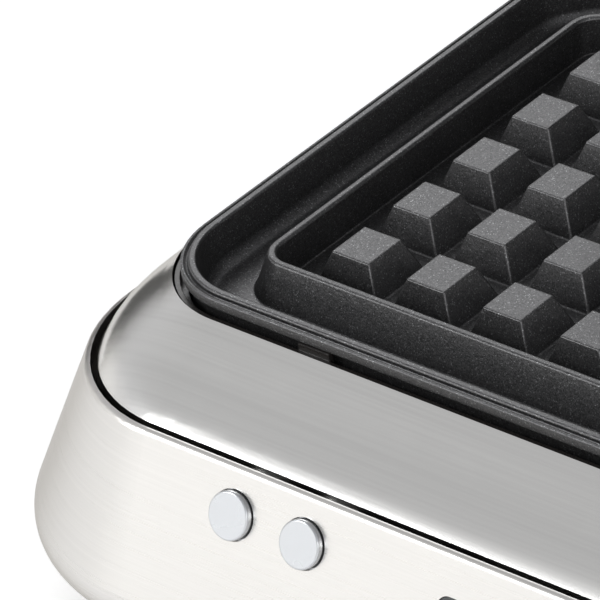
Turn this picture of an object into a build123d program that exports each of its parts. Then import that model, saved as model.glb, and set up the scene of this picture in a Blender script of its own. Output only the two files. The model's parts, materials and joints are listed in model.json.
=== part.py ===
"""Two-slice square waffle maker with its lid standing open. Millimetres, +Z up, front at -Y.

The origin is on the floor under the middle of the box that the open appliance fills.
Every level of the base is a height over the floor. The lid is drawn in its own frame, LID,
whose plan is the closed lid's plan and whose z is the height over the parting plane.
"""
from math import atan, cos, degrees, radians, sin, tan
import os

from build123d import *

# ---- driving dimensions ----
PLATE_Y = -24.03  # plate centre; puts the origin under the middle of the open appliance
PARTING = 76.4  # height where the two plates meet
LID_OPEN = 100.0  # degrees from closed to the open stop

PITCH = 22.0
STUDS = 5  # per slice, each way
STUD_FOOT, STUD_TOP = (17.9, 17.8), (10.9, 11.9)
STUD_DROP, FLOOR_DROP, BACK_DROP = 2.4, 10.9, 14.4  # stud top, plate floor, plate back under the parting
SLICE_HALF = PITCH * (STUDS - 1) / 2
SLICE_X = SLICE_HALF + 17.2  # centre of a slice
ARRAY_X, ARRAY_Y = SLICE_X + SLICE_HALF, SLICE_HALF  # outermost stud centres

# distances outward from the outermost stud centres
WELL, RING, RING_FOOT = 16.1, 18.1, 22.1
MOAT, MOAT_FOOT, RIM, GROOVE, FLANGE = 33.2, 31.9, 35.2, 36.0, 37.0
LEDGE, WALL_IN, WALL_OUT, OPENING = 35.8, 37.5, 38.75, 39.2
RING_DROP, RIM_DROP, LIP_DROP, GROOVE_DROP, FLANGE_DROP = 1.0, 0.2, 0.9, 1.6, 3.5
WELL_R, RING_R, MOAT_R = 5.5, 7.3, 19.5  # plan corner radii at WELL, RING and MOAT

# body plan: the deck's outer edge
BODY_X, BODY_FRONT, BODY_BACK, BODY_R = 151.9, -110.0, 117.1, 37.4
BODY_CY, BODY_HY = (BODY_FRONT + BODY_BACK) / 2, (BODY_BACK - BODY_FRONT) / 2
DECK_RISE = [(0.0, 71.8), (0.4, 68.4), (0.8, 64.6), (1.0, 60.8)]  # share of the way out, height
SHEET = 1.2
FLARE = 24.0  # skirt wall from the vertical
SKIRT_TOP, SKIRT_FOOT, PANEL_Z, PANEL_OUT = 60.9, 14.0, 60.0, 3.3
TURN_UNDER, TOP_ROLL, DECK_GAP = 8.0, 1.9, 1.7  # skirt's foot and top roundings, gap to the deck
CHASSIS_Z, CHASSIS_SHEET = 50.0, 2.0
PAN_Z = 10.5

# front panel, measured along the slope down from PANEL_Z
BUTTON_X, BUTTON_DOWN, BUTTON_R, BUTTON_PROUD = (-86.4, -65.9), 9.9, 5.65, 1.8
DISPLAY, DISPLAY_DOWN = (56.0, 25.0), 21.0
DIAL_X, DIAL_DOWN, DIAL_R, DIAL_H = 76.0, 21.0, 15.0, 13.0

HINGE_Y, HINGE_X, PIN_R, EAR_R = 98.0, 100.0, 4.0, 9.5
LID_X, LID_FRONT, LID_BACK, LID_R = 149.0, -106.0, 88.0, 36.0
LID_CY, LID_HY = (LID_FRONT + LID_BACK) / 2, (LID_BACK - LID_FRONT) / 2
LID_FOOT, LID_TOP, LID_TAPER, CROWN_R = -1.4, 58.0, 5.0, 18.0

# ---- frames ----
BASE = Plane(origin=(0, PLATE_Y, 0))
FACE = BASE.offset(PARTING)
SWING = radians(LID_OPEN)
LID = Plane(
    origin=(0, PLATE_Y + HINGE_Y - HINGE_Y * cos(SWING), PARTING + HINGE_Y * sin(SWING)),
    x_dir=(1, 0, 0),
    z_dir=(0, sin(SWING), cos(SWING)),
)
LID_FACE = Plane(origin=LID.origin, x_dir=(1, 0, 0), z_dir=-LID.z_dir)
SLOPE = radians(FLARE)
PANEL = Plane(
    origin=(0, PLATE_Y + BODY_FRONT - PANEL_OUT, PANEL_Z),
    x_dir=(1, 0, 0),
    z_dir=(0, -cos(SLOPE), sin(SLOPE)),
)
BACK_PANEL = Plane(
    origin=(0, PLATE_Y + BODY_BACK + PANEL_OUT, PANEL_Z),
    x_dir=(-1, 0, 0),
    z_dir=(0, cos(SLOPE), sin(SLOPE)),
)

os.makedirs("parts", exist_ok=True)


def save(part, name):
    """Label a finished piece and write its file."""
    part.label = name
    export_step(part, f"parts/{name}.step")


def around(out):
    """Plan outline round a plate, at a distance outward from the outermost studs."""
    with BuildSketch() as outline:
        RectangleRounded(2 * (ARRAY_X + out), 2 * (ARRAY_Y + out), MOAT_R + out - MOAT)
    return outline.sketch


def body_plan(out):
    """Plan outline of the body, grown evenly from the deck's edge."""
    with BuildSketch() as outline:
        with Locations((0, BODY_CY)):
            RectangleRounded(2 * (BODY_X + out), 2 * (BODY_HY + out), BODY_R + out)
    return outline.sketch


def lid_plan(out):
    """Plan outline of the lid, grown evenly from its foot."""
    with BuildSketch() as outline:
        with Locations((0, LID_CY)):
            RectangleRounded(2 * (LID_X + out), 2 * (LID_HY + out), LID_R + out)
    return outline.sketch


def edges_at(part, plane, height):
    """Edges that lie wholly at one height over a plane."""
    def flat(edge):
        box = [plane.to_local_coords(edge @ t).Z for t in (0.0, 0.5, 1.0)]
        return all(abs(z - height) < 0.02 for z in box)
    return ShapeList([edge for edge in part.edges() if flat(edge)])


# ---- cast plates, the same casting above and below ----
def cast_plate(face):
    """Studded plate with a moat. Its food side is the +z side of the given plane."""
    along, across = Plane.XZ, Plane.YZ
    height = FLOOR_DROP - STUD_DROP
    with BuildPart(mode=Mode.PRIVATE) as stud:
        for side, foot, top, mode in ((along, STUD_FOOT[0], STUD_TOP[0], Mode.ADD),
                                      (across, STUD_FOOT[1], STUD_TOP[1], Mode.INTERSECT)):
            with BuildSketch(side):
                with BuildLine():
                    Polyline((-foot / 2, -SINK), (foot / 2, -SINK), (foot / 2, 0), (top / 2, height),
                             (-top / 2, height), (-foot / 2, 0), close=True)
                make_face()
            extrude(amount=PITCH, both=True, mode=mode)

    with BuildPart(mode=Mode.PRIVATE) as ring:
        with BuildSketch(face.offset(-FLOOR_DROP)):
            RectangleRounded(2 * (ARRAY_X + RING_FOOT), 2 * (ARRAY_Y + RING_FOOT), RING_R + RING_FOOT - RING)
        extrude(amount=FLOOR_DROP - RING_DROP, taper=RING_DRAFT)
        with BuildSketch(face.offset(-FLOOR_DROP)):
            with Locations((-SLICE_X, 0), (SLICE_X, 0)):
                RectangleRounded(2 * (SLICE_HALF + WELL), 2 * (SLICE_HALF + WELL), WELL_R)
        extrude(amount=FLOOR_DROP, mode=Mode.SUBTRACT)
        fillet(edges_at(ring, face, -RING_DROP), RING_ROLL)

    with BuildPart() as plate:
        with BuildSketch(face.offset(-BACK_DROP)):
            add(around(RIM))
        extrude(amount=BACK_DROP - RIM_DROP)
        with BuildSketch(face.offset(-FLOOR_DROP)):
            add(around(MOAT_FOOT))
        extrude(amount=FLOOR_DROP - RIM_DROP, taper=-MOAT_DRAFT, mode=Mode.SUBTRACT)
        fillet(edges_at(plate, face, -FLOOR_DROP), 3.0)
        fillet(edges_at(plate, face, -RIM_DROP), RIM_ROLL)
        with BuildSketch(face.offset(-FLANGE_DROP)):
            add(around(GROOVE))
            add(around(RIM - 0.5), mode=Mode.SUBTRACT)
        extrude(amount=FLANGE_DROP - GROOVE_DROP)
        with BuildSketch(face.offset(-FLANGE_DROP)):
            add(around(FLANGE))
            add(around(GROOVE), mode=Mode.SUBTRACT)
        extrude(amount=FLANGE_DROP - LIP_DROP)
        with Locations(face.offset(-FLOOR_DROP)):
            add(ring.part.moved(face.offset(-FLOOR_DROP).location.inverse()))
            with Locations((-SLICE_X, 0), (SLICE_X, 0)):
                with GridLocations(PITCH, PITCH, STUDS, STUDS):
                    add(stud.part)
        with BuildSketch(face.offset(-BACK_DROP)):
            with Locations(*SCREW_SPOTS):
                Circle(BOSS_R)
        extrude(amount=-BOSS_H)
        with BuildSketch(face.offset(-BACK_DROP - BOSS_H)):
            with Locations(*SCREW_SPOTS):
                Circle(SCREW_R + 0.05)
        extrude(amount=BOSS_H, mode=Mode.SUBTRACT)
    return plate.part


SINK, RING_ROLL, RIM_ROLL = 0.6, 0.8, 0.6  # studs sunk into the floor, roundings of the ring and the rim
RING_DRAFT = degrees(atan((RING_FOOT - RING) / (FLOOR_DROP - RING_DROP)))
MOAT_DRAFT = degrees(atan((MOAT - MOAT_FOOT) / (FLOOR_DROP - RIM_DROP)))
SCREW_SPOTS = [(-80, -22), (80, -22), (-80, 22), (80, 22)]
BOSS_R, BOSS_H, SCREW_R = 4.5, 10.0, 1.75
TUBE_R = 3.25
PAN_HALF = (134.0, 72.0)
TRAY_SHEET = 0.8


def heater(face):
    """Tubular element that runs round under the studs, its two ends at the rear middle."""
    at = face.offset(-BACK_DROP - TUBE_R)
    half_x, half_y, gap, tail = 104.0, 46.0, 13.0, 64.0
    side = 1 if face.y_dir.dot(LID.y_dir if face is LID_FACE else BASE.y_dir) > 0 else -1
    points = [
        (-gap, side * tail), (-gap, side * half_y), (-half_x, side * half_y), (-half_x, -side * half_y),
        (half_x, -side * half_y), (half_x, side * half_y), (gap, side * half_y), (gap, side * tail),
    ]
    with BuildPart() as element:
        with BuildLine(at) as route:
            FilletPolyline(*points, radius=8.0)
        with BuildSketch(Plane(origin=route.wires()[0] @ 0, z_dir=route.wires()[0] % 0)):
            Circle(TUBE_R)
        sweep(path=route.wires()[0])
    return element.part


def reflector(face):
    """Sheet tray under a plate that sends the heat back."""
    top, floor = -BACK_DROP - 0.6, -BACK_DROP - BOSS_H - TRAY_SHEET
    with BuildPart() as tray:
        with BuildSketch(face.offset(floor)):
            RectangleRounded(2 * PAN_HALF[0], 2 * PAN_HALF[1], 12)
        extrude(amount=top - floor)
        with BuildSketch(face.offset(floor + TRAY_SHEET)):
            RectangleRounded(2 * (PAN_HALF[0] - TRAY_SHEET), 2 * (PAN_HALF[1] - TRAY_SHEET), 12 - TRAY_SHEET)
        extrude(amount=top - floor, mode=Mode.SUBTRACT)
        with BuildSketch(face.offset(floor)):
            with Locations(*SCREW_SPOTS):
                Circle(SCREW_R + 0.15)
        extrude(amount=TRAY_SHEET, mode=Mode.SUBTRACT)
    return tray.part


def plate_screws(face):
    """Four screws that hold the tray on the plate's bosses."""
    under = -BACK_DROP - BOSS_H - TRAY_SHEET
    with BuildPart() as screws:
        with BuildSketch(face.offset(under)):
            with Locations(*SCREW_SPOTS):
                Circle(SCREW_R)
        extrude(amount=8)
        with BuildSketch(face.offset(under - 2.2)):
            with Locations(*SCREW_SPOTS):
                Circle(3.5)
        extrude(amount=2.2)
        fillet(edges_at(screws, face, under - 2.2), 0.8)
    return screws.part


def puck(face, x, y, radius, height, name):
    """Round sensor pressed against a plate's back, with two flat tabs under it."""
    with BuildPart() as sensor:
        with BuildSketch(face.offset(-BACK_DROP)):
            with Locations((x, y)):
                Circle(radius)
        extrude(amount=-height)
        with BuildSketch(face.offset(-BACK_DROP - height)):
            with Locations((x, y)):
                with GridLocations(radius, 1, 2, 1):
                    Rectangle(0.8, radius * 0.6)
        extrude(amount=-1.5)
    save(sensor.part, name)


for face, where in ((FACE, "lower"), (LID_FACE, "upper")):
    save(cast_plate(face), f"{where}_plate")
    save(heater(face), f"{where}_heater")
    save(reflector(face), f"{where}_reflector")
    save(plate_screws(face), f"{where}_plate_screws")
puck(FACE, 0, 0, 8.0, 7.0, "thermostat")
puck(FACE, 30, 0, 4.0, 6.0, "thermal_fuse")
puck(LID_FACE, 0, 0, 6.0, 7.0, "lid_temperature_sensor")

# ---- base: bezel, deck, skirt ----
LEDGE_DROP, PAD = 7.9, 9.0


def ledge_ring(face, wall_foot, wall_top):
    """Wall round a plate with an inner ledge and the pads that the flange sits on."""
    long_way, short_way = 2 * (ARRAY_X + FLANGE), 2 * (ARRAY_Y + FLANGE)
    with BuildPart() as ledge:
        with BuildSketch(face.offset(wall_foot)):
            add(around(WALL_OUT))
            add(around(WALL_IN), mode=Mode.SUBTRACT)
        extrude(amount=wall_top - wall_foot)
        with BuildSketch(face.offset(-LEDGE_DROP - 2)):
            add(around(WALL_IN + 0.5))
            add(around(LEDGE), mode=Mode.SUBTRACT)
        extrude(amount=2)
        with BuildSketch(face.offset(-LEDGE_DROP)):
            with GridLocations(90, short_way - 0.6, 3, 2):
                Rectangle(PAD, 1.6)
            with GridLocations(long_way - 0.6, 80, 2, 2):
                Rectangle(1.6, PAD)
        extrude(amount=LEDGE_DROP - FLANGE_DROP)
    return ledge.part


BEZEL_TOP = 71.2
with BuildPart() as plate_bezel:
    add(ledge_ring(FACE, CHASSIS_Z + CHASSIS_SHEET - PARTING, BEZEL_TOP - PARTING))
save(plate_bezel.part, "plate_bezel")

BRACKET_SLOT = (31.0, 22.0)


def deck_section(share):
    """Plan outline of the deck part of the way from the plate opening out to the body's edge."""
    half_x = ARRAY_X + OPENING + share * (BODY_X - ARRAY_X - OPENING)
    half_y = ARRAY_Y + OPENING + share * (BODY_HY - ARRAY_Y - OPENING)
    inner_r = MOAT_R + OPENING - MOAT
    with BuildSketch() as outline:
        with Locations((0, share * BODY_CY)):
            RectangleRounded(2 * half_x, 2 * half_y, inner_r + share * (BODY_R - inner_r))
    return outline.sketch


with BuildPart() as steel_deck:
    for share, z in DECK_RISE:
        with BuildSketch(BASE.offset(z)):
            add(deck_section(share))
    loft()
    for share, z in DECK_RISE:
        with BuildSketch(BASE.offset(z - 1.5)):
            add(deck_section(share))
    loft(mode=Mode.SUBTRACT)
    with BuildSketch(BASE.offset(57.0)):
        add(body_plan(0))
        add(body_plan(-1.0), mode=Mode.SUBTRACT)
    extrude(amount=DECK_RISE[-1][1] - 57.0)
    with BuildSketch(BASE.offset(PARTING - 20)):
        add(around(OPENING))
    extrude(amount=20, mode=Mode.SUBTRACT)
    with BuildSketch(BASE.offset(PARTING - 20)):
        with Locations((-HINGE_X, HINGE_Y), (HINGE_X, HINGE_Y)):
            Rectangle(*BRACKET_SLOT)
    extrude(amount=20, mode=Mode.SUBTRACT)
save(steel_deck.part, "steel_deck")

GLAND_X, GLAND_DOWN, GLAND_HOLE = 95.0, 30.0, 8.0


def skirt_out(z):
    """How far the skirt's outer face stands outside the deck's edge at a height."""
    return PANEL_OUT + (PANEL_Z - z) * tan(SLOPE)


with BuildPart(mode=Mode.PRIVATE) as skirt_inside:
    with BuildSketch(BASE.offset(SKIRT_FOOT + SHEET)):
        add(body_plan(skirt_out(SKIRT_FOOT + SHEET) - SHEET / cos(SLOPE)))
    extrude(amount=SKIRT_TOP + 1 - SKIRT_FOOT - SHEET, taper=FLARE)
    fillet(edges_at(skirt_inside, BASE, SKIRT_FOOT + SHEET), TURN_UNDER - SHEET)

with BuildPart() as steel_skirt:
    with BuildSketch(BASE.offset(SKIRT_FOOT)):
        add(body_plan(skirt_out(SKIRT_FOOT)))
    extrude(amount=SKIRT_TOP - SKIRT_FOOT, taper=FLARE)
    fillet(edges_at(steel_skirt, BASE, SKIRT_FOOT), TURN_UNDER)
    fillet(edges_at(steel_skirt, BASE, SKIRT_TOP), TOP_ROLL)
    add(skirt_inside.part, mode=Mode.SUBTRACT)
    with BuildSketch(BASE.offset(SKIRT_TOP)):
        add(body_plan(DECK_GAP))
    extrude(amount=-4.0, mode=Mode.SUBTRACT)
    with BuildSketch(BASE.offset(SKIRT_FOOT)):
        add(body_plan(4))
    extrude(amount=10, mode=Mode.SUBTRACT)
    with BuildSketch(PANEL.offset(-6)):
        with Locations(*[(x, -BUTTON_DOWN) for x in BUTTON_X]):
            Circle(BUTTON_R + 0.35)
        with Locations((0, -DISPLAY_DOWN)):
            RectangleRounded(*DISPLAY, 3)
        with Locations((DIAL_X, -DIAL_DOWN)):
            Circle(5)
    extrude(amount=12, mode=Mode.SUBTRACT)
    with BuildSketch(BACK_PANEL.offset(-6)):
        with Locations((GLAND_X, -GLAND_DOWN)):
            Circle(GLAND_HOLE)
    extrude(amount=12, mode=Mode.SUBTRACT)
save(steel_skirt.part, "steel_skirt")

# ---- base: chassis, pan, feet ----
POSTS = [(-142.5, -60), (142.5, -60), (-142.5, 60), (142.5, 60)]
FEET = [(-128, -84), (128, -84), (-128, 96), (128, 96)]
POST_R, POST_FOOT, BASE_SCREW_R = 5.0, 16.0, 2.0

with BuildPart() as chassis:
    with BuildSketch(BASE.offset(CHASSIS_Z)):
        with Locations((0, 5)):
            RectangleRounded(296, 214, 38)
        RectangleRounded(2 * PAN_HALF[0] + 3, 2 * PAN_HALF[1] + 3, 13, mode=Mode.SUBTRACT)
    extrude(amount=CHASSIS_SHEET)
    with BuildSketch(BASE.offset(POST_FOOT)):
        with Locations(*POSTS):
            Circle(POST_R)
    extrude(amount=CHASSIS_Z - POST_FOOT)
    with BuildSketch(BASE.offset(POST_FOOT)):
        with Locations(*POSTS):
            Circle(BASE_SCREW_R + 0.1)
    extrude(amount=20, mode=Mode.SUBTRACT)
save(chassis.part, "chassis")

BOARD_SPOTS = [(40, 20), (120, 20), (40, 60), (120, 60)]
BOARD_Z = 24.0
with BuildPart() as base_pan:
    with BuildSketch(BASE.offset(PAN_Z)):
        add(body_plan(8))
    extrude(amount=SKIRT_FOOT - PAN_Z)
    chamfer(edges_at(base_pan, BASE, PAN_Z), 1.0)
    with BuildSketch(BASE.offset(SKIRT_FOOT)):
        add(body_plan(3.6))
        add(body_plan(1.6), mode=Mode.SUBTRACT)
    extrude(amount=8)
    with BuildSketch(BASE.offset(SKIRT_FOOT)):
        with Locations(*POSTS):
            Circle(8)
    extrude(amount=POST_FOOT - SKIRT_FOOT)
    with BuildSketch(BASE.offset(SKIRT_FOOT)):
        with Locations(*BOARD_SPOTS):
            Circle(3.5)
    extrude(amount=BOARD_Z - SKIRT_FOOT)
    with BuildSketch(BASE.offset(PAN_Z)):
        with Locations(*POSTS):
            Circle(BASE_SCREW_R + 0.15)
        with Locations(*FEET):
            Circle(4)
        with GridLocations(9, 60, 14, 2):
            SlotOverall(34, 4, rotation=90)
    extrude(amount=POST_FOOT - PAN_Z, mode=Mode.SUBTRACT)
    with BuildSketch(BASE.offset(PAN_Z)):
        with Locations(*POSTS):
            Circle(4.5)
    extrude(amount=3, mode=Mode.SUBTRACT)
save(base_pan.part, "base_pan")

with BuildPart() as base_screws:
    with BuildSketch(BASE.offset(PAN_Z + 0.6)):
        with Locations(*POSTS):
            Circle(4.0)
    extrude(amount=2.4)
    with BuildSketch(BASE.offset(PAN_Z + 3)):
        with Locations(*POSTS):
            Circle(BASE_SCREW_R)
    extrude(amount=18)
save(base_screws.part, "base_screws")

FOOT_R = 9.0
with BuildPart() as rubber_feet:
    with BuildSketch(BASE):
        with Locations(*FEET):
            Circle(FOOT_R)
    extrude(amount=PAN_Z)
    chamfer(edges_at(rubber_feet, BASE, 0), 1.2)
    with BuildSketch(BASE.offset(PAN_Z)):
        with Locations(*FEET):
            Circle(3.9)
    extrude(amount=SKIRT_FOOT - PAN_Z)
save(rubber_feet.part, "rubber_feet")

# ---- base: electrics ----
with BuildPart() as power_board:
    with BuildSketch(BASE.offset(BOARD_Z)):
        with Locations((80, 40)):
            Rectangle(94, 54)
    extrude(amount=1.6)
    with BuildSketch(BASE.offset(BOARD_Z + 1.6)):
        with Locations((50, 44), (72, 44)):
            Rectangle(16, 28)
    extrude(amount=13)
    with BuildSketch(BASE.offset(BOARD_Z + 1.6)):
        with Locations((105, 30)):
            Circle(7)
        with Locations((98, 54)):
            Rectangle(30, 10)
    extrude(amount=9)
save(power_board.part, "power_board")

with BuildPart() as terminal_block:
    with BuildSketch(BASE.offset(SKIRT_FOOT)):
        with Locations((-95, 70)):
            Rectangle(36, 18)
    extrude(amount=12)
    with BuildSketch(BASE.offset(SKIRT_FOOT + 12)):
        with Locations((-95, 70)):
            with GridLocations(11, 1, 3, 1):
                Circle(2.5)
    extrude(amount=-6, mode=Mode.SUBTRACT)
save(terminal_block.part, "terminal_block")

CORD_HOLE = 3.6
with BuildPart() as cord_gland:
    with BuildSketch(BACK_PANEL.offset(-SHEET - 3)):
        with Locations((GLAND_X, -GLAND_DOWN)):
            Circle(GLAND_HOLE - 0.05)
    extrude(amount=SHEET + 3)
    with BuildSketch(BACK_PANEL):
        with Locations((GLAND_X, -GLAND_DOWN)):
            Circle(GLAND_HOLE + 2)
    extrude(amount=3)
    fillet(edges_at(cord_gland, BACK_PANEL, 3), 1.2)
    with BuildSketch(BACK_PANEL.offset(-SHEET - 3)):
        with Locations((GLAND_X, -GLAND_DOWN)):
            Circle(CORD_HOLE)
    extrude(amount=SHEET + 8, mode=Mode.SUBTRACT)
save(cord_gland.part, "cord_gland")

# ---- front panel ----
BRACKET_Z, BOARD_DEPTH, BRACKET_SHEET = -6.6, -13.6, 2.0
STEM_R, COLLAR = 2.5, (6.8, -2.8, -1.5)
SWITCH_TOP, STEM_END = -10.3, -9.0
PANEL_HALF, PANEL_MID, PANEL_H = 98.0, -19.0, 30.0
PANEL_POSTS = [(-94, -29), (94, -29), (-42, -8), (42, -8)]
CAPS = [(x, -BUTTON_DOWN) for x in BUTTON_X]

with BuildPart() as panel_bracket:
    with BuildSketch(PANEL.offset(BRACKET_Z)):
        with Locations((0, PANEL_MID)):
            Rectangle(2 * PANEL_HALF, PANEL_H)
        with Locations(*CAPS):
            Circle(STEM_R + 0.35, mode=Mode.SUBTRACT)
        with Locations((0, -DISPLAY_DOWN)):
            Rectangle(62, 24, mode=Mode.SUBTRACT)
        with Locations((DIAL_X, -DIAL_DOWN)):
            Circle(4.6, mode=Mode.SUBTRACT)
    extrude(amount=BRACKET_SHEET)
    with BuildSketch(PANEL.offset(BOARD_DEPTH + 1.6)):
        with Locations(*PANEL_POSTS):
            Circle(2.5)
    extrude(amount=-BOARD_DEPTH - 1.6 - SHEET)
save(panel_bracket.part, "panel_bracket")

with BuildPart() as control_board:
    with BuildSketch(PANEL.offset(BOARD_DEPTH)):
        with Locations((0, PANEL_MID)):
            Rectangle(2 * PANEL_HALF, PANEL_H)
    extrude(amount=1.6)
    with BuildSketch(PANEL.offset(BOARD_DEPTH)):
        with Locations((-40, -22)):
            Rectangle(18, 12)
        with Locations((40, -22)):
            Rectangle(10, 8)
    extrude(amount=-2.5)
save(control_board.part, "control_board")

with BuildPart() as button_switches:
    with BuildSketch(PANEL.offset(BOARD_DEPTH + 1.6)):
        with Locations(*CAPS):
            Rectangle(6, 6)
    extrude(amount=1.0)
    with BuildSketch(PANEL.offset(BOARD_DEPTH + 2.6)):
        with Locations(*CAPS):
            Circle(1.6)
    extrude(amount=SWITCH_TOP - BOARD_DEPTH - 2.6)
save(button_switches.part, "button_switches")

for (x, y), name in zip(CAPS, ("outer_button", "inner_button")):
    with BuildPart() as button:
        with BuildSketch(PANEL.offset(COLLAR[1])):
            with Locations((x, y)):
                Circle(BUTTON_R)
        extrude(amount=BUTTON_PROUD - COLLAR[1])
        fillet(edges_at(button, PANEL, BUTTON_PROUD), 0.5)
        with BuildSketch(PANEL.offset(COLLAR[1])):
            with Locations((x, y)):
                Circle(COLLAR[0])
        extrude(amount=COLLAR[2] - COLLAR[1])
        with BuildSketch(PANEL.offset(STEM_END)):
            with Locations((x, y)):
                Circle(STEM_R)
        extrude(amount=COLLAR[1] - STEM_END)
    save(button.part, name)

with BuildPart() as display_window:
    with BuildSketch(PANEL.offset(-SHEET)):
        with Locations((0, -DISPLAY_DOWN)):
            RectangleRounded(DISPLAY[0] - 0.4, DISPLAY[1] - 0.4, 2.8)
    extrude(amount=SHEET - 0.15)
    with BuildSketch(PANEL.offset(-SHEET - 1.2)):
        with Locations((0, -DISPLAY_DOWN)):
            Rectangle(DISPLAY[0] + 4, DISPLAY[1] - 2)
    extrude(amount=1.2)
save(display_window.part, "display_window")

with BuildPart() as display_module:
    with BuildSketch(PANEL.offset(-8.0)):
        with Locations((0, -DISPLAY_DOWN)):
            Rectangle(DISPLAY[0] - 4, DISPLAY[1] - 4)
    extrude(amount=8.0 - SHEET - 1.2)
save(display_module.part, "display_module")

SHAFT_R, SHAFT_FOOT, BUSH_R = 3.0, -9.0, 4.5
with BuildPart() as dial_control:
    with BuildSketch(PANEL.offset(BOARD_DEPTH + 1.6)):
        with Locations((DIAL_X, -DIAL_DOWN)):
            Rectangle(16, 16)
    extrude(amount=BRACKET_Z - BOARD_DEPTH - 1.6)
    with BuildSketch(PANEL.offset(BRACKET_Z)):
        with Locations((DIAL_X, -DIAL_DOWN)):
            Circle(BUSH_R)
    extrude(amount=-BRACKET_Z - 0.4)
    with BuildSketch(PANEL.offset(SHAFT_FOOT - 0.4)):
        with Locations((DIAL_X, -DIAL_DOWN)):
            Circle(SHAFT_R + 0.08)
    extrude(amount=12, mode=Mode.SUBTRACT)
save(dial_control.part, "dial_control")

SOCKET_TOP = 9.0
with BuildPart() as dial_shaft:
    with BuildSketch(PANEL.offset(SHAFT_FOOT)):
        with Locations((DIAL_X, -DIAL_DOWN)):
            Circle(SHAFT_R)
    extrude(amount=SOCKET_TOP - SHAFT_FOOT)
save(dial_shaft.part, "dial_shaft")

with BuildPart() as dial_knob:
    with BuildSketch(PANEL.offset(0.6)):
        with Locations((DIAL_X, -DIAL_DOWN)):
            Circle(DIAL_R)
    with BuildSketch(PANEL.offset(DIAL_H)):
        with Locations((DIAL_X, -DIAL_DOWN)):
            Circle(DIAL_R - 1.2)
    loft()
    fillet(edges_at(dial_knob, PANEL, DIAL_H), 1.2)
    with BuildSketch(PANEL.offset(0.6)):
        with Locations((DIAL_X, -DIAL_DOWN)):
            Circle(DIAL_R - 2.2)
            Circle(SHAFT_R + 2.2, mode=Mode.SUBTRACT)
    extrude(amount=DIAL_H - 3.0, mode=Mode.SUBTRACT)
    with BuildSketch(PANEL.offset(0.6)):
        with Locations((DIAL_X, -DIAL_DOWN)):
            Circle(SHAFT_R + 0.02)
    extrude(amount=SOCKET_TOP - 0.6, mode=Mode.SUBTRACT)
    with BuildSketch(PANEL.offset(DIAL_H - 0.6)):
        with Locations((DIAL_X, -DIAL_DOWN + 8)):
            Rectangle(1.6, 7)
    extrude(amount=0.6, mode=Mode.SUBTRACT)
save(dial_knob.part, "dial_knob")

with BuildPart() as dial_pointer:
    with BuildSketch(PANEL.offset(DIAL_H - 0.6)):
        with Locations((DIAL_X, -DIAL_DOWN + 8)):
            Rectangle(1.5, 6.9)
    extrude(amount=0.55)
save(dial_pointer.part, "dial_pointer")

# ---- hinge ----
EAR, EAR_GAP, EAR_HALF = 4.5, 7.0, 9.0
EAR_FOOT = CHASSIS_Z + CHASSIS_SHEET
SIDE = Plane(origin=(0, PLATE_Y + HINGE_Y, PARTING), x_dir=(0, 1, 0), z_dir=(1, 0, 0))

with BuildPart() as hinge_brackets:
    with BuildSketch(BASE.offset(EAR_FOOT)):
        with Locations((-HINGE_X, HINGE_Y), (HINGE_X, HINGE_Y)):
            Rectangle(2 * (EAR_GAP + EAR), 2 * EAR_HALF)
    extrude(amount=3)
    for side in (-1, 1):
        for start in (EAR_GAP, -EAR_GAP - EAR):
            with BuildSketch(SIDE.offset(side * HINGE_X + start)):
                Circle(EAR_R)
                with Locations((0, (EAR_FOOT - PARTING) / 2)):
                    Rectangle(2 * EAR_HALF, PARTING - EAR_FOOT)
            extrude(amount=EAR)
        with BuildSketch(SIDE.offset(side * HINGE_X - 20)):
            Circle(PIN_R + 0.02)
        extrude(amount=40, mode=Mode.SUBTRACT)
save(hinge_brackets.part, "hinge_brackets")

with BuildPart() as hinge_pins:
    for side in (-1, 1):
        with BuildSketch(SIDE.offset(side * HINGE_X - EAR_GAP - EAR)):
            Circle(PIN_R)
        extrude(amount=2 * (EAR_GAP + EAR))
        for start in (EAR_GAP + EAR, -EAR_GAP - EAR - 1.6):
            with BuildSketch(SIDE.offset(side * HINGE_X + start)):
                Circle(PIN_R + 2)
            extrude(amount=1.6)
save(hinge_pins.part, "hinge_pins")

# ---- lid ----
ARM_HALF, KNUCKLE_R, WALL = 6.7, 8.5, 1.2
PAD_Y, PAD_FOOT, PAD_TOP, WEB_TOP = 82.9, 4.4, 28.0, 13.0
LID_SIDE = Plane(origin=LID.origin, x_dir=LID.y_dir, z_dir=(1, 0, 0))
FRAME_FOOT, FRAME_TOP, LID_WALL_TOP = 1.2, 4.2, 12.0


def lid_back(z):
    """Inner face of the lid's rear wall at a height over the parting plane."""
    return LID_BACK - WALL - (z - LID_FOOT) * tan(radians(LID_TAPER))


def lid_solid(inset, foot, top, crown):
    """Lid's outer form, or its hollow when it is inset."""
    with BuildPart(mode=Mode.PRIVATE) as form:
        with BuildSketch(LID.offset(foot)):
            add(lid_plan(-inset - (foot - LID_FOOT) * tan(radians(LID_TAPER))))
        extrude(amount=top - foot, taper=LID_TAPER)
        fillet(edges_at(form, LID, top), crown)
    return form.part


lid_outside = lid_solid(0, LID_FOOT, LID_TOP, CROWN_R)
LID_SCREWS = [(-112, -94), (112, -94)]
POST_X, POST_Z, HANDLE_SCREW_R = 62.0, 19.0, 2.0
ARM_SCREWS = [(side * HINGE_X + x, 20) for side in (-1, 1) for x in (-10.5, 10.5)]
ARM_SCREW_Y, HANDLE_SCREW_Y = 86.4, -102.5  # under the heads
HANDLE_SCREWS = [(-POST_X, POST_Z), (POST_X, POST_Z)]
LID_REAR = Plane(origin=LID.origin, x_dir=(1, 0, 0), z_dir=-LID.y_dir)

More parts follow.
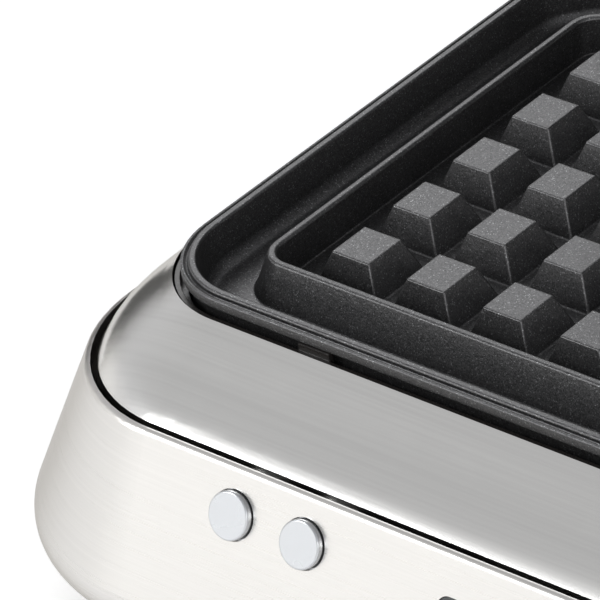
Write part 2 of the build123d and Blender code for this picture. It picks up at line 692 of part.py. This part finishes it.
with BuildPart() as lid_shell:
    add(lid_outside)
    add(lid_solid(WALL, LID_FOOT - 1, LID_TOP - WALL, CROWN_R - WALL), mode=Mode.SUBTRACT)
    with BuildSketch(LID.offset(FRAME_TOP)):
        with Locations(*LID_SCREWS):
            Circle(4)
    extrude(until=Until.NEXT)
    with BuildSketch(LID.offset(FRAME_TOP)):
        with Locations(*LID_SCREWS):
            Circle(1.6)
    extrude(amount=14, mode=Mode.SUBTRACT)
    with BuildSketch(LID.offset(LID_FOOT - 1)):
        with Locations((-HINGE_X, LID_BACK), (HINGE_X, LID_BACK)):
            Rectangle(2 * ARM_HALF + 0.8, 12)
    extrude(amount=WEB_TOP + 0.4 - LID_FOOT + 1, mode=Mode.SUBTRACT)
    with BuildSketch(LID_REAR.offset(-LID_BACK - 2)):
        with Locations(*ARM_SCREWS):
            Circle(1.8)
    extrude(amount=12, mode=Mode.SUBTRACT)
    with BuildSketch(LID_REAR.offset(-LID_FRONT - 10)):
        with Locations(*HANDLE_SCREWS):
            Circle(HANDLE_SCREW_R + 0.1)
    extrude(amount=14, mode=Mode.SUBTRACT)
save(lid_shell.part, "lid_shell")

with BuildPart() as lid_frame:
    with BuildSketch(LID.offset(FRAME_FOOT)):
        add(lid_plan(-WALL - 0.8))
        add(around(WALL_OUT - 0.4), mode=Mode.SUBTRACT)
    extrude(amount=FRAME_TOP - FRAME_FOOT)
    add(ledge_ring(LID_FACE, -LID_WALL_TOP, -FRAME_FOOT))
    with BuildSketch(LID.offset(FRAME_FOOT)):
        with Locations(*LID_SCREWS):
            Circle(1.8)
    extrude(amount=FRAME_TOP - FRAME_FOOT, mode=Mode.SUBTRACT)
save(lid_frame.part, "lid_frame")

with BuildPart() as lid_screws:
    with BuildSketch(LID.offset(FRAME_FOOT)):
        with Locations(*LID_SCREWS):
            Circle(1.55)
    extrude(amount=14)
    with BuildSketch(LID.offset(FRAME_FOOT)):
        with Locations(*LID_SCREWS):
            Circle(3.2)
    extrude(amount=-1.6)
save(lid_screws.part, "lid_screws")

with BuildPart() as lid_hinge_arms:
    for side in (-1, 1):
        with BuildSketch(LID_SIDE.offset(side * HINGE_X - ARM_HALF)):
            with Locations((HINGE_Y, 0)):
                Circle(KNUCKLE_R)
            with BuildLine():
                Polyline(
                    (HINGE_Y, -KNUCKLE_R + 1), (HINGE_Y + KNUCKLE_R - 1, 0), (HINGE_Y, WEB_TOP - 3),
                    (lid_back(WEB_TOP), WEB_TOP), (PAD_Y, WEB_TOP), (PAD_Y, PAD_FOOT),
                    (lid_back(PAD_FOOT), PAD_FOOT), (LID_BACK, LID_FOOT), close=True,
                )
            make_face()
        extrude(amount=2 * ARM_HALF)
        with BuildSketch(LID_SIDE.offset(side * HINGE_X - 15)):
            with BuildLine():
                Polyline(
                    (PAD_Y, PAD_FOOT), (lid_back(PAD_FOOT), PAD_FOOT),
                    (lid_back(PAD_TOP), PAD_TOP), (PAD_Y, PAD_TOP), close=True,
                )
            make_face()
        extrude(amount=30)
    with BuildSketch(LID_SIDE.offset(-HINGE_X - 20)):
        with Locations((HINGE_Y, 0)):
            Circle(PIN_R + 0.06)
    extrude(amount=2 * HINGE_X + 40, mode=Mode.SUBTRACT)
    with BuildSketch(LID_REAR.offset(-PAD_Y + 4)):
        with Locations(*ARM_SCREWS):
            Circle(1.55)
    extrude(amount=-20, mode=Mode.SUBTRACT)
save(lid_hinge_arms.part, "lid_hinge_arms")

with BuildPart() as arm_screws:
    with BuildSketch(LID_REAR.offset(-ARM_SCREW_Y)):
        with Locations(*ARM_SCREWS):
            Circle(1.5)
    extrude(amount=4.4)
    with BuildSketch(LID_REAR.offset(-ARM_SCREW_Y)):
        with Locations(*ARM_SCREWS):
            Circle(3.0)
    extrude(amount=-1.6)
save(arm_screws.part, "arm_screws")

GRIP_HALF, GRIP_NEAR, GRIP_FAR, GRIP_H = 84.0, -127.0, -146.0, 13.0
with BuildPart() as handle_posts:
    with BuildSketch(LID_REAR.offset(-GRIP_NEAR)):
        with Locations(*HANDLE_SCREWS):
            RectangleRounded(18, 11, 3)
    extrude(amount=GRIP_NEAR - LID_FRONT - 6)
    add(lid_outside, mode=Mode.SUBTRACT)
    with BuildSketch(LID_REAR.offset(-LID_FRONT)):
        with Locations(*HANDLE_SCREWS):
            Circle(HANDLE_SCREW_R + 0.05)
    extrude(amount=12, both=True, mode=Mode.SUBTRACT)
save(handle_posts.part, "handle_posts")

with BuildPart() as handle_grip:
    with BuildSketch(LID_REAR.offset(-GRIP_NEAR)):
        with Locations((0, POST_Z)):
            RectangleRounded(2 * GRIP_HALF, GRIP_H, 4)
    extrude(amount=GRIP_NEAR - GRIP_FAR)
    fillet(handle_grip.faces().sort_by(Axis(LID.origin, LID.y_dir))[0].edges(), 4.0)
save(handle_grip.part, "handle_grip")

with BuildPart() as handle_screws:
    with BuildSketch(LID_REAR.offset(-HANDLE_SCREW_Y)):
        with Locations(*HANDLE_SCREWS):
            Circle(HANDLE_SCREW_R)
    extrude(amount=12)
    with BuildSketch(LID_REAR.offset(-HANDLE_SCREW_Y)):
        with Locations(*HANDLE_SCREWS):
            Circle(4.0)
    extrude(amount=-2.0)
save(handle_screws.part, "handle_screws")
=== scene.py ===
import json
import math

import bpy
from mathutils import Matrix, Vector


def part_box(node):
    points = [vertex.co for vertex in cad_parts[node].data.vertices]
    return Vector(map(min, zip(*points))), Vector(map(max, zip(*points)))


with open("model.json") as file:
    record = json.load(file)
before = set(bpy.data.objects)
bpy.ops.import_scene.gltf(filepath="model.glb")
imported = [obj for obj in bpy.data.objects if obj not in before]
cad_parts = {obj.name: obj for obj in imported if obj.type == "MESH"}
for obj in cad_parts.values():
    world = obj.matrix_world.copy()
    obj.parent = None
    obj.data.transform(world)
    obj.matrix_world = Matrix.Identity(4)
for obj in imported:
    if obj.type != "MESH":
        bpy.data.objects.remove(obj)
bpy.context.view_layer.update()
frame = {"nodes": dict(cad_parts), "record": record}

# ---- places taken from the frame ----
PITCH = 0.022  # stud to stud
PLATE_LOW, PLATE_HIGH = (Vector(v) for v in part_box("lower_plate"))
PLATE_MID = (PLATE_LOW + PLATE_HIGH) / 2
STUD_UNDER_RIM = 0.0022
STUD_LEFT, STUD_FRONT = 0.1052, 0.044  # corner stud's centre from the plate's middle
CORNER_STUD = Vector((PLATE_MID.x - STUD_LEFT, PLATE_MID.y - STUD_FRONT, PLATE_HIGH.z - STUD_UNDER_RIM))

# ---- camera: a long lens on the front left corner of the lower plate ----
AZIMUTH, ELEVATION, ROLL = 44.05, 33.48, -7.36  # degrees
CAMERA_RIGHT, CAMERA_UP, CAMERA_BACK = -0.6889, -0.5653, 64.4  # from the corner stud, in pitches
SENSOR, LENS = 36.0, 374.0


def add_camera():
    """Camera that sees the corner stud above and right of its view's middle."""
    a, e, r = (math.radians(v) for v in (AZIMUTH, ELEVATION, ROLL))
    back = Vector((math.sin(a) * math.cos(e), -math.cos(a) * math.cos(e), math.sin(e)))
    level = Vector((math.cos(a), math.sin(a), 0.0))
    rise = back.cross(level)
    right = math.cos(r) * level + math.sin(r) * rise
    up = -math.sin(r) * level + math.cos(r) * rise
    data = bpy.data.cameras.new("camera")
    data.sensor_width, data.lens = SENSOR, LENS
    data.clip_start, data.clip_end = 0.05, 50.0
    camera = bpy.data.objects.new("camera", data)
    bpy.context.scene.collection.objects.link(camera)
    spot = CORNER_STUD + PITCH * (CAMERA_RIGHT * right + CAMERA_UP * up + CAMERA_BACK * back)
    camera.matrix_world = Matrix.Translation(spot) @ Matrix((right, up, back)).transposed().to_4x4()
    bpy.context.scene.camera = camera


# ---- edges rounded in Blender ----
WELD = 0.000002  # joins the corners that faces share
SHARP, PLATE_SHARP = 32, 50  # degrees between faces where an edge is rounded
ROUNDING = {  # width of the rounded edge on each node, in metres
    "lower_plate": 0.0004, "upper_plate": 0.0004, "plate_bezel": 0.0003, "hinge_brackets": 0.0006,
    "lid_hinge_arms": 0.0005, "handle_posts": 0.0006, "display_window": 0.0002, "dial_knob": 0.0004,
    "lid_shell": 0.0002, "lid_frame": 0.0003,
}

# ---- light ----
FLOOR_SIZE, FLOOR_GLOW = 12.0, 0.34
SKY = [  # sine of the height over the horizon, colour of the room there
    (0.0, (1.06, 1.05, 1.03)),
    (0.25, (1.02, 1.01, 1.0)),
    (0.52, (0.74, 0.74, 0.755)),
    (0.74, (0.62, 0.62, 0.625)),
    (1.0, (0.56, 0.56, 0.57)),
]
DARK_SIDE = (-0.2, 0.98, 0.0)  # the room is dark low down towards here
DARK_FROM, DARK_FULL = 0.25, 0.5  # share of a direction that points to the dark side
DARK_TOP, DARK_GONE = 0.32, 0.52  # sine of the height up to which the dark is full, and where it ends
DARKNESS = 0.9
LIGHTS = [  # name, place, side in metres, power in watts
    ("back_left_softbox", (-1.4, 1.25, 1.28), 0.9, 7.0),
    ("edge_softbox", (-1.4, -1.5, 1.25), 0.6, 12.0),
    ("front_softbox", (-1.3, -2.0, 0.4), 1.0, 1.5),
    ("corner_softbox", (1.6, -1.6, 1.0), 0.5, 6.0),
]


# ---- materials ----
class Finish:
    """A procedural material and short ways to add its nodes."""

    def __init__(self, name, colour, metallic, roughness, **inputs):
        self.material = bpy.data.materials.new(name)
        self.material.use_nodes = True
        self.nodes, self.links = self.material.node_tree.nodes, self.material.node_tree.links
        self.shader = next(n for n in self.nodes if n.type == "BSDF_PRINCIPLED")
        self.set("Base Color", (*colour, 1.0))
        self.set("Metallic", metallic)
        self.set("Roughness", roughness)
        for key, value in inputs.items():
            self.set(key.replace("_", " "), value)
        self.where = self.nodes.new("ShaderNodeTexCoord").outputs["Object"]
        self.bumps = []

    def set(self, socket, value):
        self.shader.inputs[socket].default_value = value

    def feed(self, socket, output):
        self.links.new(output, self.shader.inputs[socket])

    def noise(self, scale, detail=3.0, rough=0.55):
        """Noise whose grain is stretched by a scale along each axis, in cycles a metre."""
        mapping = self.nodes.new("ShaderNodeMapping")
        mapping.inputs["Scale"].default_value = scale if hasattr(scale, "__len__") else (scale,) * 3
        self.links.new(self.where, mapping.inputs["Vector"])
        node = self.nodes.new("ShaderNodeTexNoise")
        node.inputs["Scale"].default_value = 1.0
        node.inputs["Detail"].default_value = detail
        node.inputs["Roughness"].default_value = rough
        self.links.new(mapping.outputs["Vector"], node.inputs["Vector"])
        return node.outputs["Fac"]

    def cells(self, scale):
        """Distance to the nearest of many scattered points."""
        node = self.nodes.new("ShaderNodeTexVoronoi")
        node.inputs["Scale"].default_value = scale
        self.links.new(self.where, node.inputs["Vector"])
        return node.outputs["Distance"]

    def ramp(self, fac, *stops):
        node = self.nodes.new("ShaderNodeValToRGB")
        elements = node.color_ramp.elements
        while len(elements) < len(stops):
            elements.new(0.5)
        for element, (place, value) in zip(elements, stops):
            element.position = place
            element.color = (*value, 1.0) if hasattr(value, "__len__") else (value, value, value, 1.0)
        self.links.new(fac, node.inputs["Fac"])
        return node.outputs["Color"]

    def mix(self, fac, one, two, blend="MIX"):
        node = self.nodes.new("ShaderNodeMix")
        node.data_type, node.blend_type = "RGBA", blend
        for socket, value in (("Factor", fac), ("A", one), ("B", two)):
            target = next(s for s in node.inputs if s.name == socket and s.enabled)
            if isinstance(value, bpy.types.NodeSocket):
                self.links.new(value, target)
            elif socket == "Factor":
                target.default_value = value
            else:
                target.default_value = (*value, 1.0)
        return next(s for s in node.outputs if s.enabled)

    def bump(self, height, strength, distance):
        node = self.nodes.new("ShaderNodeBump")
        node.inputs["Strength"].default_value = strength
        node.inputs["Distance"].default_value = distance
        self.links.new(height, node.inputs["Height"])
        if self.bumps:
            self.links.new(self.bumps[-1], node.inputs["Normal"])
        self.bumps.append(node.outputs["Normal"])
        self.feed("Normal", node.outputs["Normal"])


def nonstick():
    """Dark metallic-flake coating on a casting, with a dense sparkle of fine flakes."""
    f = Finish("nonstick_coating", (0.13, 0.13, 0.135), 0.85, 0.33, Specular_IOR_Level=0.6)
    fine, coarse = f.noise(2600, 4, 0.75), f.noise(420, 3, 0.6)
    specks = f.ramp(f.cells(1900), (0.16, 1.0), (0.34, 0.0))
    chosen = f.ramp(f.noise(1300, 2, 0.5), (0.50, 0.0), (0.58, 1.0))
    flake = f.mix(1.0, specks, chosen, "MULTIPLY")
    tone = f.mix(coarse, (0.045, 0.045, 0.047), (0.075, 0.075, 0.077))
    tone = f.mix(f.ramp(fine, (0.38, 0.0), (0.66, 1.0)), tone, (0.155, 0.155, 0.158))
    f.feed("Base Color", f.mix(flake, tone, (0.34, 0.345, 0.355)))
    f.feed("Roughness", f.ramp(fine, (0.3, 0.28), (0.7, 0.42)))
    f.bump(fine, 0.40, 0.00013)
    f.bump(f.noise(1100, 2, 0.5), 0.22, 0.0002)
    return f.material


def brushed(name, colour, grain, low=0.24, high=0.36, strength=0.06):
    """Steel brushed along the axes whose grain number is small."""
    f = Finish(name, colour, 1.0, (low + high) / 2)
    f.set("Specular Tint", (0.60, 0.585, 0.56, 1.0))
    fine = f.noise(grain, 5, 0.7)
    broad = f.noise([g / 6 for g in grain], 3, 0.6)
    light, dark = [min(1.0, c * 1.03) for c in colour], [c * 0.955 for c in colour]
    f.feed("Base Color", f.mix(f.ramp(fine, (0.3, 0.0), (0.7, 1.0)), dark, light))
    smudge = f.noise(26, 3, 0.55)
    f.feed("Roughness", f.ramp(f.mix(0.2, fine, smudge), (0.3, low), (0.7, high)))
    f.bump(fine, strength, 0.00004)
    f.bump(broad, strength * 0.6, 0.00008)
    return f.material


def plastic(name, colour, roughness=0.45, grain=1800, strength=0.12):
    """Satin moulding with a fine spark-eroded grain and a little uneven shine."""
    f = Finish(name, colour, 0.0, roughness)
    fine, broad = f.noise(grain, 4, 0.7), f.noise(60, 3, 0.5)
    f.feed("Base Color", f.mix(broad, [c * 0.85 for c in colour], [min(1.0, c * 1.15) for c in colour]))
    f.feed("Roughness", f.ramp(fine, (0.3, roughness - 0.06), (0.7, roughness + 0.08)))
    f.bump(fine, strength, 0.00008)
    return f.material


def metal(name, colour, roughness=0.3, grain=1500, strength=0.08):
    """Plated or cast metal with a fine grain and cloudy shine."""
    f = Finish(name, colour, 1.0, roughness)
    fine, cloud = f.noise(grain, 4, 0.7), f.noise(90, 3, 0.5)
    f.feed("Base Color", f.mix(cloud, [c * 0.9 for c in colour], [min(1.0, c * 1.06) for c in colour]))
    f.feed("Roughness", f.ramp(cloud, (0.3, roughness - 0.05), (0.7, roughness + 0.07)))
    f.bump(fine, strength, 0.00005)
    return f.material


def rubber():
    """Dull black rubber with a dusty bloom."""
    f = Finish("foot_rubber", (0.03, 0.03, 0.03), 0.0, 0.75)
    bloom = f.noise(240, 4, 0.6)
    dusty = f.ramp(bloom, (0.45, 0.0), (0.8, 1.0))
    f.feed("Base Color", f.mix(dusty, (0.022, 0.022, 0.023), (0.07, 0.068, 0.065)))
    f.feed("Roughness", f.ramp(bloom, (0.3, 0.68), (0.7, 0.85)))
    f.bump(f.noise(1400, 4, 0.7), 0.2, 0.0001)
    return f.material


def display_glass():
    """Dark tinted window with a few wiping marks."""
    f = Finish("display_tint", (0.015, 0.018, 0.02), 0.0, 0.07, Coat_Weight=0.6, Coat_Roughness=0.04)
    marks = f.noise((90, 400, 400), 3, 0.6)
    f.feed("Base Color", f.mix(f.noise(70, 2, 0.5), (0.012, 0.015, 0.017), (0.022, 0.027, 0.03)))
    f.feed("Roughness", f.ramp(marks, (0.4, 0.05), (0.75, 0.12)))
    return f.material


def circuit_board():
    """Green solder mask with tracks."""
    f = Finish("solder_mask", (0.04, 0.2, 0.08), 0.0, 0.35)
    tracks = f.ramp(f.noise((500, 60, 60), 1, 0.3), (0.48, 0.0), (0.52, 1.0))
    f.feed("Base Color", f.mix(tracks, (0.03, 0.15, 0.06), (0.05, 0.26, 0.11)))
    f.bump(tracks, 0.2, 0.0001)
    return f.material


def finishes():
    """One material for each slot of the record."""
    return {
        "nonstick": nonstick(),
        "brushed_steel": brushed("brushed_steel", (0.70, 0.688, 0.668), (5, 5, 2600)),
        "satin_steel": brushed("satin_steel", (0.80, 0.795, 0.78), (5, 700, 40), 0.17, 0.22, 0.002),
        "handle_steel": brushed("handle_steel", (0.66, 0.65, 0.635), (6, 2200, 2200)),
        "button_silver": metal("button_silver", (0.60, 0.617, 0.64), 0.26, 3200, 0.10),
        "bezel_plastic": plastic("bezel_plastic", (0.018, 0.016, 0.015), 0.3),
        "dark_plastic": plastic("dark_plastic", (0.03, 0.03, 0.033), 0.48),
        "white_plastic": plastic("white_plastic", (0.75, 0.74, 0.70), 0.5),
        "switch_plastic": plastic("switch_plastic", (0.06, 0.06, 0.06), 0.5),
        "rubber": rubber(),
        "zinc": metal("zinc_plate", (0.68, 0.68, 0.66), 0.32),
        "plain_steel": metal("plain_sheet", (0.6, 0.61, 0.62), 0.38, 300, 0.15),
        "element": metal("element_sheath", (0.3, 0.28, 0.26), 0.5, 500, 0.2),
        "sensor": metal("sensor_can", (0.62, 0.62, 0.6), 0.3),
        "hinge_cast": metal("hinge_casting", (0.16, 0.16, 0.17), 0.42, 700, 0.2),
        "circuit_board": circuit_board(),
        "display_glass": display_glass(),
        "display_panel": plastic("display_cell", (0.12, 0.14, 0.14), 0.2),
    }


def lid_steel():
    """Lid cover: brushed from side to side, so its grain runs along X on every face."""
    return brushed("lid_brushed_steel", (0.68, 0.67, 0.65), (5, 2200, 2200), 0.29, 0.34)


def dress_frame():
    """Give each CAD node its finish, and soften the edges of the cast and pressed pieces."""
    made = finishes()
    slots = {row["node"]: row["material_slot"] for row in frame["record"]["subparts"]}
    for name, obj in frame["nodes"].items():
        material = lid_steel() if name == "lid_shell" else made[slots[name]]
        obj.data.materials.clear()
        obj.data.materials.append(material)
    for name, width in ROUNDING.items():
        obj = frame["nodes"][name]
        weld = obj.modifiers.new("weld", "WELD")
        weld.merge_threshold = WELD
        bevel = obj.modifiers.new("bevel", "BEVEL")
        bevel.width, bevel.segments, bevel.limit_method = width, 3, "ANGLE"
        bevel.angle_limit = math.radians(PLATE_SHARP if name == "lower_plate" else SHARP)
        bevel.use_clamp_overlap = name != "lower_plate"
        flat = obj.modifiers.new("flat_faces", "WEIGHTED_NORMAL")
        flat.keep_sharp = True


# ---- room ----
def add_room():
    """Pale floor, a bright room that is dark low down behind, and the softboxes."""
    bpy.ops.mesh.primitive_plane_add(size=FLOOR_SIZE, location=(0, 0, 0))
    floor = bpy.context.object
    floor.name = "floor"
    f = Finish("pale_floor", (0.9, 0.9, 0.9), 0.0, 0.7, Emission_Strength=FLOOR_GLOW)
    f.set("Emission Color", (1.0, 1.0, 1.0, 1.0))
    f.feed("Base Color", f.mix(f.noise(3, 3, 0.5), (0.89, 0.89, 0.89), (0.93, 0.93, 0.93)))
    floor.data.materials.append(f.material)

    world = bpy.data.worlds.new("room")
    bpy.context.scene.world = world
    world.use_nodes = True
    nodes, links = world.node_tree.nodes, world.node_tree.links
    background = nodes["Background"]
    background.inputs["Strength"].default_value = 1.0
    place = nodes.new("ShaderNodeTexCoord")
    split = nodes.new("ShaderNodeSeparateXYZ")
    links.new(place.outputs["Generated"], split.inputs["Vector"])
    aside = nodes.new("ShaderNodeVectorMath")
    aside.operation = "DOT_PRODUCT"
    aside.inputs[1].default_value = DARK_SIDE
    links.new(place.outputs["Generated"], aside.inputs[0])

    def shades(source, stops):
        node = nodes.new("ShaderNodeValToRGB")
        while len(node.color_ramp.elements) < len(stops):
            node.color_ramp.elements.new(0.5)
        for element, (height, colour) in zip(node.color_ramp.elements, stops):
            element.position, element.color = height, (*colour, 1.0)
        links.new(source, node.inputs["Fac"])
        return node.outputs["Color"]

    def multiply(one, two):
        node = nodes.new("ShaderNodeMix")
        node.data_type, node.blend_type = "RGBA", "MULTIPLY"
        node.inputs["Factor"].default_value = 1.0
        for name, source in (("A", one), ("B", two)):
            links.new(source, next(s for s in node.inputs if s.name == name and s.enabled))
        return next(s for s in node.outputs if s.enabled)

    black, white = (0.0, 0.0, 0.0), (1.0, 1.0, 1.0)
    low = shades(split.outputs["Z"], [(0.0, white), (DARK_TOP, white), (DARK_GONE, black)])
    side = shades(aside.outputs["Value"], [(DARK_FROM, black), (DARK_FULL, white)])
    dimmed = nodes.new("ShaderNodeInvert")
    dimmed.inputs["Fac"].default_value = DARKNESS
    links.new(multiply(low, side), dimmed.inputs["Color"])
    sky = multiply(shades(split.outputs["Z"], SKY), dimmed.outputs["Color"])
    links.new(sky, background.inputs["Color"])

    for name, spot, size, power in LIGHTS:
        data = bpy.data.lights.new(name, "AREA")
        data.shape, data.size, data.energy = "SQUARE", size, power
        light = bpy.data.objects.new(name, data)
        bpy.context.scene.collection.objects.link(light)
        light.location = spot
        light.rotation_euler = (PLATE_MID - Vector(spot)).to_track_quat("-Z", "Y").to_euler()

add_camera()
dress_frame()
add_room()

scene = bpy.context.scene
scene.view_settings.view_transform = "Standard"
bpy.context.view_layer.update()
